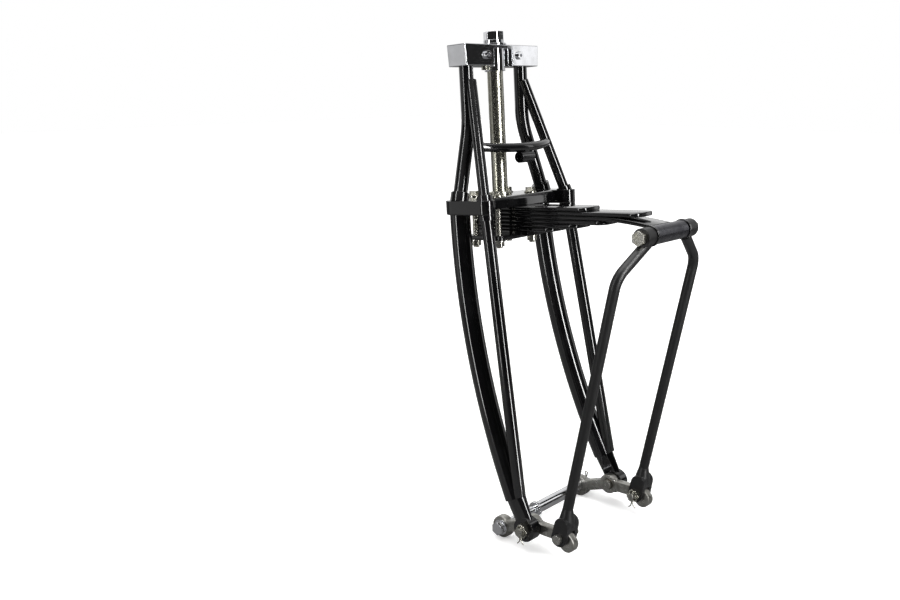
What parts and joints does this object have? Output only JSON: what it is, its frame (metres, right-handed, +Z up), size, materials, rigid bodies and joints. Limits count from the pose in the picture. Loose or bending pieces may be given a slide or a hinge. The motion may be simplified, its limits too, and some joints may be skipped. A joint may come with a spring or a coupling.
{
  "type": "suspension fork",
  "caption": "Trailing-link leaf-spring suspension fork with chrome top crown, plated steering stem, black tube legs, shackle loop and nickel rockers",
  "frame": {"origin": "on the steering stem's axis, at the top face of the lower crown where the stem stands", "axes": "+Z up the steering stem, -Y towards the front of the machine, +X to the rider's left"},
  "size_m": [0.291, 0.354, 0.7945],
  "materials": {
    "enamel": "gloss black stoved enamel",
    "satin_black": "satin black powder coat",
    "spring_black": "gloss black enamel on spring steel",
    "chrome": "polished chrome plate",
    "zinc": "zinc plate with a faint olive cast",
    "nickel": "satin nickel plate on a forging",
    "bright_zinc": "bright zinc plate",
    "bronze": "oiled bronze"
  },
  "bodies": {
    "fork_frame": {"arched_brace": "enamel", "bracket_lug": "enamel", "centre_bolt": "bright_zinc", "clamp_bolts": "bright_zinc", "clamp_nuts": "bright_zinc", "clamp_plate": "spring_black", "clamp_washers": "bright_zinc", "crown_pinch_bolts": "chrome", "crown_set_screw": "zinc", "leaf_bottom": "spring_black", "leaf_long": "spring_black", "leaf_lower_1": "spring_black", "leaf_lower_2": "spring_black", "leaf_lower_3": "spring_black", "leaf_main": "spring_black", "leaf_top": "spring_black", "left_bow_tube": "enamel", "left_crown_lug": "enamel", "left_front_tube": "enamel", "left_leg_lug": "enamel", "left_lower_front_tube": "enamel", "left_main_tube": "enamel", "lower_crown": "enamel", "pivot_bolts": "nickel", "pivot_nuts": "bright_zinc", "pivot_pins": "bright_zinc", "race_collar": "zinc", "right_bow_tube": "enamel", "right_crown_lug": "enamel", "right_front_tube": "enamel", "right_leg_lug": "enamel", "right_lower_front_tube": "enamel", "right_main_tube": "enamel", "steering_stem": "zinc", "stem_nut": "chrome", "stem_washer": "chrome", "top_crown": "chrome"},
    "rockers": {"left_rocker": "nickel", "right_rocker": "nickel", "pivot_bushes": "bronze", "front_bushes": "bronze", "axle": "chrome", "axle_nut": "chrome", "axle_pin": "bright_zinc", "axle_washers": "chrome", "axle_sleeve": "chrome"},
    "spring_tip": {"spring_eye": "spring_black", "eye_bush": "bronze", "eye_washers": "spring_black"},
    "loop": {"left_loop_leg": "satin_black", "right_loop_leg": "satin_black", "left_loop_ear": "satin_black", "right_loop_ear": "satin_black", "left_clevis": "satin_black", "right_clevis": "satin_black", "shackle_bolt": "bright_zinc", "shackle_nut": "bright_zinc", "clevis_bolts": "nickel", "clevis_nuts": "bright_zinc", "clevis_pins": "bright_zinc"}
  },
  "joints": [
    {"name": "rocker_pivot", "type": "hinge", "parent": "fork_frame", "child": "rockers", "pos_m": [0, -0.127, -0.503], "axis": [1, 0, 0], "range_deg": [-8, 14], "stiffness_Nm_per_rad": 70},
    {"name": "spring_flex", "type": "hinge", "parent": "fork_frame", "child": "spring_tip", "pos_m": [0, -0.128, -0.033], "axis": [1, 0, 0], "range_deg": [-3, 4.95], "deforming": ["leaf_main", "leaf_long", "leaf_lower_1", "leaf_lower_2", "leaf_lower_3"]},
    {"name": "shackle_pivot", "type": "hinge", "parent": "spring_tip", "child": "loop", "pos_m": [0, -0.305, -0.0523], "axis": [1, 0, 0], "range_deg": [-4.98, 3.01]}
  ],
  "couplings": [
    {"joint": "spring_flex", "follows": "rocker_pivot", "ratio": 0.3247},
    {"joint": "shackle_pivot", "follows": "rocker_pivot", "ratio": -0.3268}
  ]
}
